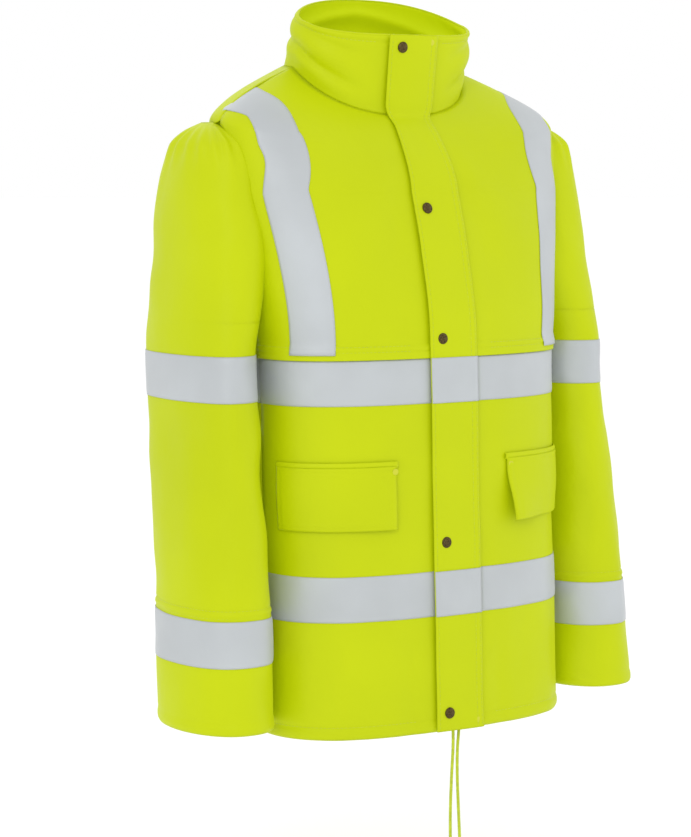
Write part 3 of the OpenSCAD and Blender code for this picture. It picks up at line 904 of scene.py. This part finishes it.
# ---------------------------------------------------------------- stitching
def stitches(name, path, body_name, blend=None, length=3.2, gap=1.4, radius=0.28):
    """Short raised threads along a path of points in mm."""
    verts, faces = [], []
    travelled, drawn = 0.0, False
    marks = []
    for a, b in zip(path, path[1:]):
        step = (b - a).length
        if step == 0:
            continue
        pos = 0.0
        while pos < step:
            need = (length if drawn else gap) - travelled
            move = min(need, step - pos)
            pos += move
            travelled += move
            if travelled >= (length if drawn else gap) - 1e-9:
                marks.append(a.lerp(b, pos / step))
                travelled, drawn = 0.0, not drawn
    for a, b in zip(marks[::2], marks[1::2]):
        d = (b - a).normalized()
        n = Vector((a.x / 2, a.y - 30, 0)).normalized()
        s = d.cross(n).normalized()
        base = len(verts)
        for end, k in ((a, 0.35), (a.lerp(b, 0.2), 1), (a.lerp(b, 0.8), 1), (b, 0.35)):
            for c, m in ((-1, 0), (-0.7, 0.8), (0.7, 0.8), (1, 0)):
                p = end + (s * c + n * m) * radius * k
                verts.append(place(p.x, p.y, p.z))
        for r in range(3):
            for c in range(4):
                i, j = base + r * 4 + c, base + r * 4 + (c + 1) % 4
                faces.append((i, j, j + 4, i + 4))
        faces.append((base + 3, base + 2, base + 1, base))
        faces.append((base + 12, base + 13, base + 14, base + 15))
    mesh = bpy.data.meshes.new(name)
    mesh.from_pydata(verts, [], faces)
    o = link(name, mesh, None if blend else body_name, "yellow_cord", THREAD)
    if blend:
        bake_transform(o)
    return o


def line(f, n=160):
    return [f(i / n) for i in range(n + 1)]


def build_stitching():
    def mirrored(path):
        return [Vector((-p.x, p.y, p.z)) for p in path]

    for side, mirror in SIDES:
        flip = mirrored if mirror else list
        for k, z in enumerate((SEAM_Z + 3.5, SEAM_Z + 9.5)):
            stitches(f"yoke_stitch_{side}_{k}", flip(line(lambda u: body(
                mix(0.17, front_end(z), u), z, yoke_lift(z) + 0.1))), ROOT)
        stitches(f"hem_stitch_{side}", flip(line(lambda u: body(
            mix(0.17, math.pi / 2, u), HEM_STITCH, hem_roll(HEM_STITCH) + 0.1))), ROOT)
        s = -1 if mirror else 1
        for k, z in enumerate((CUFF_SEAM, CUFF_SEAM - 8, CUFF_Z + 14)):
            stitches(f"cuff_stitch_{side}_{k}", flip(line(lambda u: sleeve(
                mix(-3.1, 3.1, u), z, cuff_detail(z) + 0.1, True, s), 240)), ROOT)
    stitches("hem_stitch_back", line(lambda u: body(
        round_back(u), HEM_STITCH, hem_roll(HEM_STITCH) + 0.1), 240), ROOT)

    def on_flap(x, z):
        return strip(x, z, FLAP_D + flap_wave(x, z) + 0.1)

    for k, x in enumerate((FLAP_X0 + 4, FLAP_X1 - 2.5, FLAP_X1 - 8.5)):
        stitches(f"flap_stitch_{k}", line(lambda u, x=x: on_flap(x, mix(2, RIM_FRONT - 3, u)), 300), None,
                 FLAP_BLEND)
    stitches("collar_stitch", line(lambda u: collar(around(0.35, u), 0.90, -0.65), 300), ROOT)


# ---------------------------------------------------------------- snaps, zip, loop
def front_normal(z):
    a, b = strip(0, z - 4, 0), strip(0, z + 4, 0)
    up = (b - a).normalized()
    return Vector((1, 0, 0)).cross(up)


# the round parts' profiles, as (radius, height) pairs in mm
CAP = [(6.2, -0.6), (6.3, 0.3), (6.0, 1.0), (5.4, 1.35), (4.9, 1.2), (4.5, 1.25), (3.8, 1.6), (2.4, 1.95),
       (1.0, 2.1), (0.1, 2.12)]
SOCKET = [(2.4, 0.0), (5.0, 0.0), (5.0, 0.9), (4.2, 1.2), (3.4, 1.0), (2.5, 1.2), (2.4, 0.1)]
STUD = [(5.0, 0.0), (5.0, 0.5), (4.2, 0.8), (2.4, 0.8), (1.9, 1.0), (2.05, 1.35), (1.7, 1.5), (0.1, 1.5)]
SNAP_X = -14
SOCKET_D = 2.9         # how far the sockets and the studs stand off the front
STUD_D = 0.5
# height of each snap, and the body that its cap and socket ride
SNAPS = ((759, ROOT), (581, ROOT), (438, "storm_flap"), (212, "storm_flap"), (21, "storm_flap"))


def join(name, parts):
    bpy.ops.object.select_all(action="DESELECT")
    for o in parts:
        o.select_set(True)
    bpy.context.view_layer.objects.active = parts[0]
    bpy.ops.object.join()
    parts[0].name = name
    return parts[0]


TACK = [(3.5, -0.3), (3.5, 0.15), (3.2, 0.4), (2.0, 0.45), (0.1, 0.45)]
TACKS = {"pocket_right": (-76, 294, 3.1, ROOT), "pocket_left": (79, 293, 3.1, ROOT),
         "flap_top": (23, 765, FLAP_D, ROOT), "flap_low": (24, 9, FLAP_D, "storm_flap")}


def build_tacks():
    """Small bonded discs at the pocket flaps' corners and at the ends of the storm flap's seam."""
    for name, (x, z, d, rides) in TACKS.items():
        if abs(x) > 40:
            t = angle_at(x, half_w(z), ROUND_N)
            at, beside = body(t, z, d), body(t + 0.02, z, d)
            n = (beside - at).cross(Vector((0, 0, 1)))
        else:
            at, n = strip(x, z, d), front_normal(z)
        lathe(f"tack_{name}", place(at.x, at.y, at.z), n.normalized(), TACK, 28, rides,
              "coated_yellow_cloth", DISC)


def build_snaps():
    groups = {}
    for z, rides in SNAPS:
        n = front_normal(z)
        for kind, profile, d, rider in (("cap", CAP, FLAP_D + 0.1, rides),
                                        ("socket", SOCKET, SOCKET_D, rides),
                                        ("stud", STUD, STUD_D, ROOT)):
            at = strip(SNAP_X, z, d)
            o = lathe(f"snap_{kind}_{z}", place(at.x, at.y, at.z), n, profile, 40, rider,
                      "bronze_metal", BRONZE)
            groups.setdefault((kind, rider), []).append((o, z))
    nodes = {("cap", ROOT): "snap_caps_top", ("cap", "storm_flap"): "snap_caps",
             ("socket", ROOT): "snap_sockets_top", ("socket", "storm_flap"): "snap_sockets",
             ("stud", ROOT): "snap_studs"}
    for (kind, rider), parts in groups.items():
        o = join(f"press_{nodes[(kind, rider)]}", [p for p, _ in parts])
        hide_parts(nodes[(kind, rider)])


TOOTH_PITCH = 2.4


def build_zip():
    """Interlocking teeth: small blocks that alternate across the middle."""
    for side, s in (("right", -1), ("left", 1)):
        verts, faces = [], []
        z = 10 + (TOOTH_PITCH / 2 if s > 0 else 0)
        while z < RIM_FRONT - 8:
            c = strip(0, z, -0.2)
            for dx in (s * 2.1, s * -0.5):
                w = 0.7 if dx == s * 2.1 else 0.95
                for dy in (-0.6, 0.9):
                    for dz in (-w / 2, w / 2):
                        verts.append(place(dx, c.y + dy, z + dz))
            b = len(verts) - 8
            for f in ((0, 1, 3, 2), (4, 6, 7, 5), (0, 4, 5, 1), (2, 3, 7, 6), (0, 2, 6, 4), (1, 5, 7, 3)):
                faces.append(tuple(b + i for i in (f if s > 0 else f[::-1])))
            z += TOOTH_PITCH
        mesh = bpy.data.meshes.new(f"teeth_{side}")
        mesh.from_pydata(verts, [], faces)
        o = link(f"teeth_{side}", mesh, ROOT, "zip_plastic", PLASTIC)
        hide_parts(f"zip_teeth_{side}")
        inner(f"zip_band_{side}", lambda u, v, s=s: strip(
            mix(2, 15, u) if s > 0 else mix(-15, -2, u), mix(8, RIM_FRONT - 6, v), -3.1), 6, 120,
            f"zip_tape_{side}", 0.7)
    for node in ("zip_slider", "zip_pull", "cord_eyelets"):
        set_material(node, BRONZE)
    set_material("hang_loop", INNER)
    set_material("hem_drawcord", BRAID)


def set_material(node, material):
    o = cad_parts[node]
    for s in o.material_slots:
        s.material = material
    if not o.material_slots:
        o.data.materials.append(material)


# ---------------------------------------------------------------- stage and light
FLOOR_DROP = 0.26      # the floor lies this far below the hem, in metres
FLOOR_HALF = 200


def build_stage():
    floor_z = HEM - FLOOR_DROP
    mesh = bpy.data.meshes.new("floor")
    r = FLOOR_HALF
    corners = [(-r, -r, floor_z), (r, -r, floor_z), (r, r, floor_z), (-r, r, floor_z)]
    mesh.from_pydata(corners, [], [(0, 1, 2, 3)])
    m, _, shader = new_material("floor", (0.96, 0.96, 0.96), 1.0, Emission_Strength=0.07)
    shader.inputs["Emission Color"].default_value = (1, 1, 1, 1)
    mesh.materials.append(m)
    floor = bpy.data.objects.new("floor", mesh)
    bpy.context.collection.objects.link(floor)
    world = bpy.data.worlds.new("studio")
    world.use_nodes = True
    world.node_tree.nodes["Background"].inputs["Color"].default_value = (1, 1, 1, 1)
    world.node_tree.nodes["Background"].inputs["Strength"].default_value = 1.0
    bpy.context.scene.world = world

    def area(name, x, y, z, size, watts):
        data = bpy.data.lights.new(name, "AREA")
        data.size = size
        data.energy = watts
        o = bpy.data.objects.new(name, data)
        bpy.context.collection.objects.link(o)
        o.location = (x, y, z)
        o.rotation_euler = (Vector((0, -0.1, -0.4)) - o.location).to_track_quat("-Z", "Y").to_euler()

    area("key", -2.0, -2.2, 1.4, 1.3, 16)
    area("fill", 2.2, -1.6, 0.4, 1.6, 4)
    area("rim", 0.4, 2.2, 1.6, 1.4, 6)


build_body()
build_collar()
build_flap()
build_pockets()
build_tapes()
build_sleeves()
build_stitching()
build_snaps()
build_tacks()
build_zip()
build_stage()
